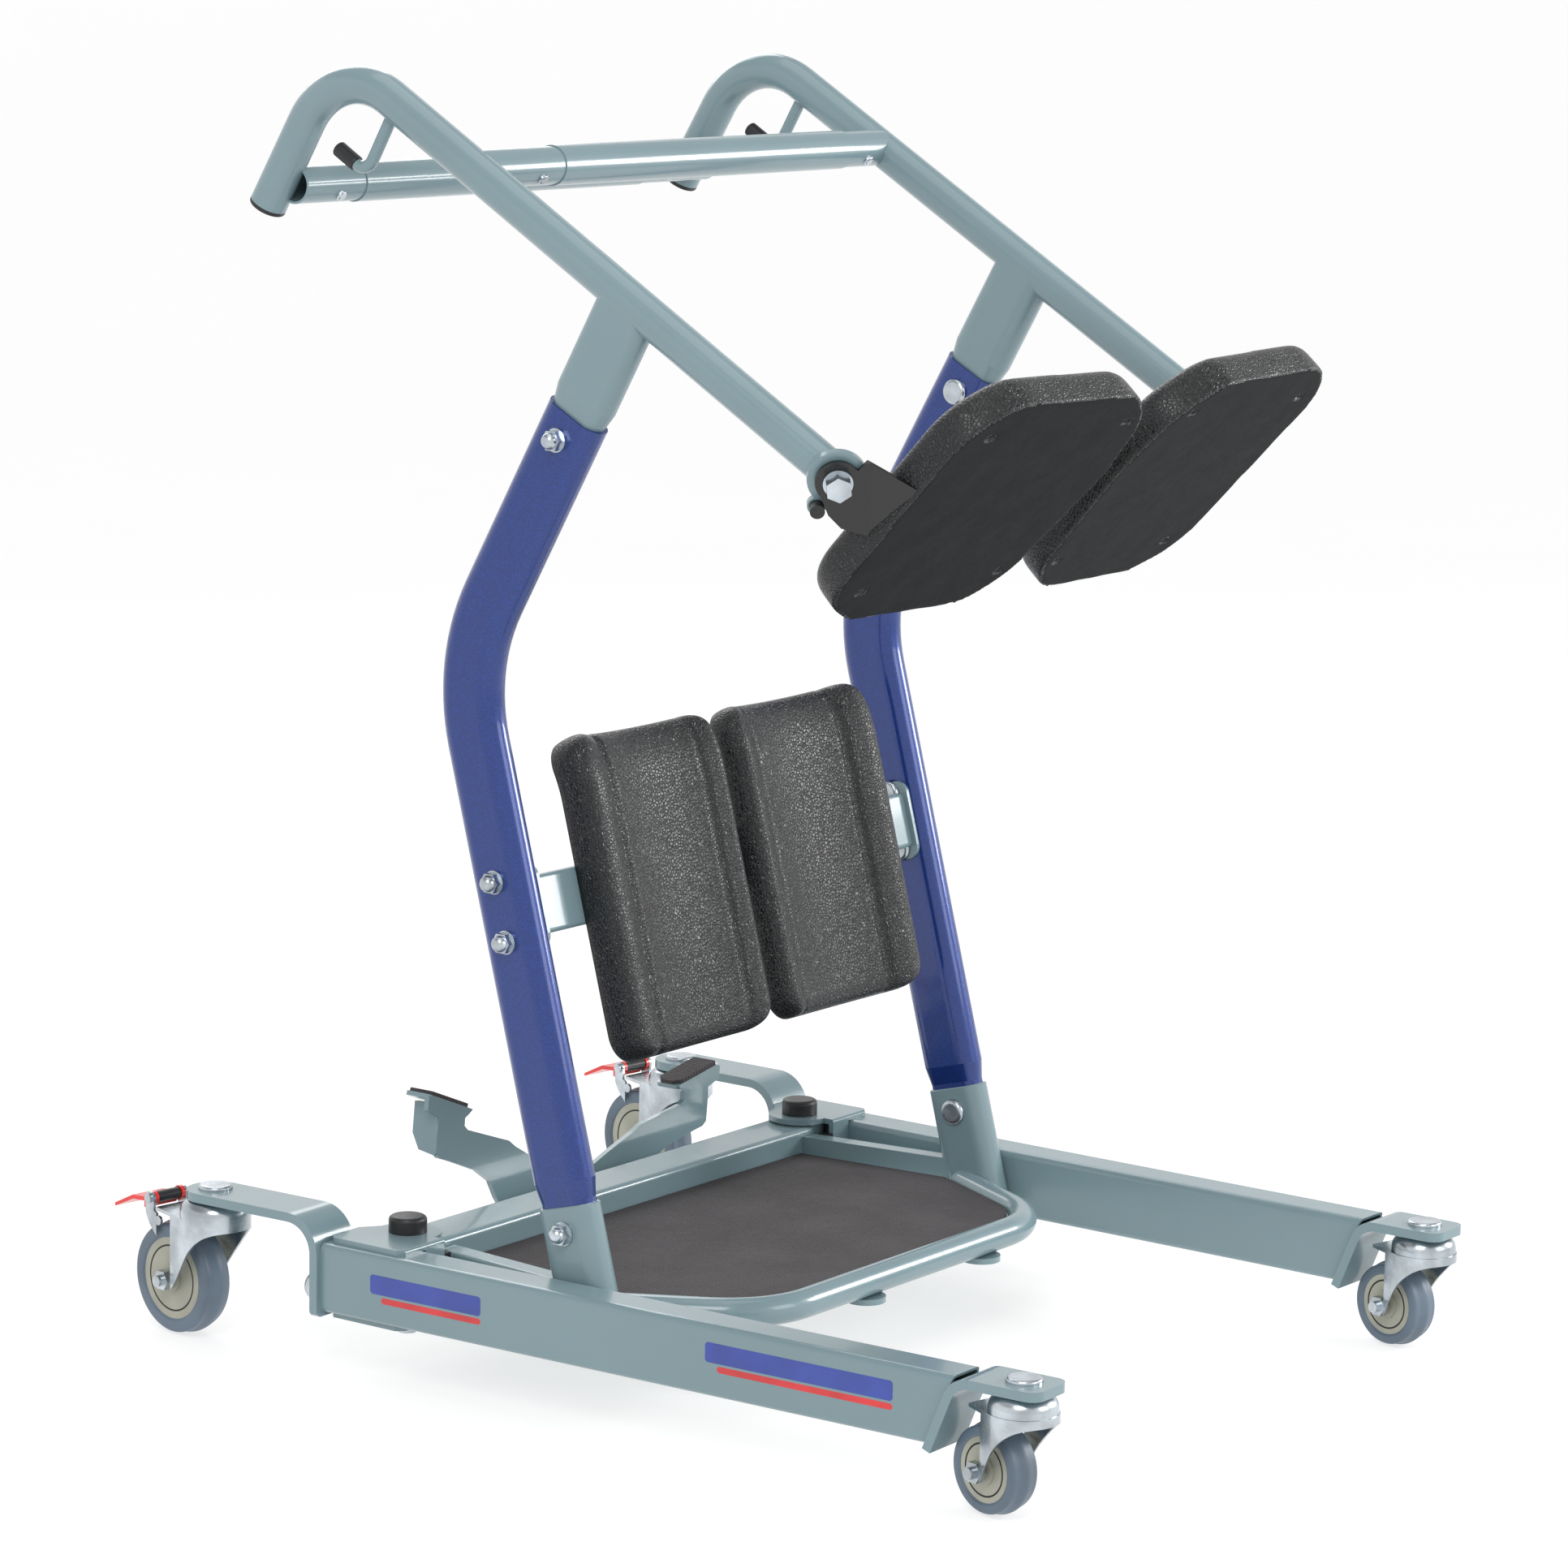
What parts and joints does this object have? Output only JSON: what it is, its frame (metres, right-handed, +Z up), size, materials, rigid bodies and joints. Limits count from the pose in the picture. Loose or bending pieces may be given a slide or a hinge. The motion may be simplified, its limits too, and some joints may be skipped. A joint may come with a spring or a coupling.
{
  "type": "sit to stand lift",
  "caption": "Manual sit-to-stand transfer aid: wheeled base with spreading legs, footplate, bent posts, knee pads, push handles and swing-aside half seats.",
  "frame": {"origin": "middle of the footprint on the ground, taken from the bounding box at rest", "axes": "+Z up, +X to the right side, -Y towards the person who steps on, +Y towards the caregiver"},
  "size_m": [0.7284, 0.9754, 1.1022],
  "materials": {
    "grey_paint": "gloss",
    "blue_paint": "gloss",
    "zinc_plate": "satin",
    "ribbed_rubber": "matte",
    "black_plastic": "satin",
    "pad_skin": "satin",
    "black_paint": "gloss",
    "red_plastic": "gloss",
    "tyre_rubber": "satin",
    "hub_plastic": "satin"
  },
  "bodies": {
    "frame": {"rear_beam": "grey_paint", "side_bars": "grey_paint", "front_tube": "grey_paint", "footplate_pan": "grey_paint", "footplate_mat": "ribbed_rubber", "footplate_feet": "grey_paint", "rubber_stops": "black_plastic", "lower_sockets": "grey_paint", "post_left": "blue_paint", "post_right": "blue_paint", "frame_bolts": "zinc_plate", "knee_brackets": "grey_paint", "knee_bar": "grey_paint", "knee_pad_left": "pad_skin", "knee_pad_right": "pad_skin", "handle_left": "grey_paint", "handle_right": "grey_paint", "upper_sockets": "grey_paint", "black_caps": "black_plastic", "crossbar_front": "grey_paint", "crossbar_rear": "grey_paint", "crossbar_stubs": "grey_paint", "crossbar_screws": "zinc_plate", "bag_hooks": "grey_paint", "pivot_bolts": "zinc_plate", "seat_bosses": "grey_paint", "seat_pivot_bolts": "zinc_plate"},
    "pedal": {"pedal_rocker": "grey_paint", "pedal_pads": "ribbed_rubber"},
    "leg_left": {"leg_left": "grey_paint", "pivot_bracket_left": "grey_paint", "caster_bars_left": "grey_paint", "caster_bolts_left": "zinc_plate"},
    "seat_left": {"seat_pad_left": "pad_skin", "seat_bracket_left": "black_paint"},
    "caster_rear_left": {"rear_fork_left": "zinc_plate", "brake_roller_left": "black_plastic"},
    "wheel_rear_left": {"rear_hub_left": "hub_plastic", "rear_tyre_left": "tyre_rubber"},
    "brake_left": {"brake_pedal_left": "red_plastic"},
    "caster_front_left": {"front_fork_left": "zinc_plate"},
    "wheel_front_left": {"front_hub_left": "hub_plastic", "front_tyre_left": "tyre_rubber"},
    "leg_right": {"leg_right": "grey_paint", "pivot_bracket_right": "grey_paint", "caster_bars_right": "grey_paint", "caster_bolts_right": "zinc_plate"},
    "seat_right": {"seat_pad_right": "pad_skin", "seat_bracket_right": "black_paint"},
    "caster_rear_right": {"rear_fork_right": "zinc_plate", "brake_roller_right": "black_plastic"},
    "wheel_rear_right": {"rear_hub_right": "hub_plastic", "rear_tyre_right": "tyre_rubber"},
    "brake_right": {"brake_pedal_right": "red_plastic"},
    "caster_front_right": {"front_fork_right": "zinc_plate"},
    "wheel_front_right": {"front_hub_right": "hub_plastic", "front_tyre_right": "tyre_rubber"}
  },
  "joints": [
    {"name": "leg_left_spread", "type": "hinge", "parent": "frame", "child": "leg_left", "pos_m": [-0.28507, 0.193, 0.083], "axis": [0, 0, 1], "range_deg": [-10, 0]},
    {"name": "caster_rear_left_swivel", "type": "hinge", "parent": "leg_left", "child": "caster_rear_left", "pos_m": [-0.33317, 0.3696, 0.11], "axis": [0, 0, 1], "continuous": true},
    {"name": "wheel_rear_left_roll", "type": "hinge", "parent": "caster_rear_left", "child": "wheel_rear_left", "pos_m": [-0.32733, 0.4122, 0.05], "axis": [0.9907, -0.1357, 0], "continuous": true},
    {"name": "brake_left_press", "type": "hinge", "parent": "caster_rear_left", "child": "brake_left", "pos_m": [-0.32421, 0.43499, 0.118], "axis": [0.9907, -0.1357, 0], "range_deg": [-9, 0]},
    {"name": "caster_front_left_swivel", "type": "hinge", "parent": "leg_left", "child": "caster_front_left", "pos_m": [-0.31597, -0.4587, 0.09], "axis": [0, 0, 1], "continuous": true},
    {"name": "wheel_front_left_roll", "type": "hinge", "parent": "caster_front_left", "child": "wheel_front_left", "pos_m": [-0.30912, -0.42949, 0.0375], "axis": [0.9736, -0.2284, 0], "continuous": true},
    {"name": "leg_right_spread", "type": "hinge", "parent": "frame", "child": "leg_right", "pos_m": [0.28293, 0.193, 0.083], "axis": [0, 0, 1], "range_deg": [0, 10]},
    {"name": "caster_rear_right_swivel", "type": "hinge", "parent": "leg_right", "child": "caster_rear_right", "pos_m": [0.33103, 0.3696, 0.11], "axis": [0, 0, 1], "continuous": true},
    {"name": "wheel_rear_right_roll", "type": "hinge", "parent": "caster_rear_right", "child": "wheel_rear_right", "pos_m": [0.33687, 0.4122, 0.05], "axis": [0.9907, -0.1357, 0], "continuous": true},
    {"name": "brake_right_press", "type": "hinge", "parent": "caster_rear_right", "child": "brake_right", "pos_m": [0.33999, 0.43499, 0.118], "axis": [0.9907, -0.1357, 0], "range_deg": [-9, 0]},
    {"name": "caster_front_right_swivel", "type": "hinge", "parent": "leg_right", "child": "caster_front_right", "pos_m": [0.31383, -0.4587, 0.09], "axis": [0, 0, 1], "continuous": true},
    {"name": "wheel_front_right_roll", "type": "hinge", "parent": "caster_front_right", "child": "wheel_front_right", "pos_m": [0.32068, -0.42949, 0.0375], "axis": [0.9736, -0.2284, 0], "continuous": true},
    {"name": "seat_left_swing", "type": "hinge", "parent": "frame", "child": "seat_left", "pos_m": [-0.28807, -0.243, 0.8012], "axis": [-0.7071, -0.6061, -0.3642], "range_deg": [0, 120]},
    {"name": "seat_right_swing", "type": "hinge", "parent": "frame", "child": "seat_right", "pos_m": [0.28593, -0.243, 0.8012], "axis": [-0.7071, 0.6061, 0.3642], "range_deg": [0, 120]},
    {"name": "pedal_rock", "type": "hinge", "parent": "frame", "child": "pedal", "pos_m": [-0.00107, 0.2425, 0.095], "axis": [0, 1, 0], "range_deg": [-12, 0]}
  ],
  "couplings": [
    {"joint": "leg_right_spread", "follows": "leg_left_spread", "ratio": -1},
    {"joint": "pedal_rock", "follows": "leg_left_spread", "ratio": 1.2}
  ]
}
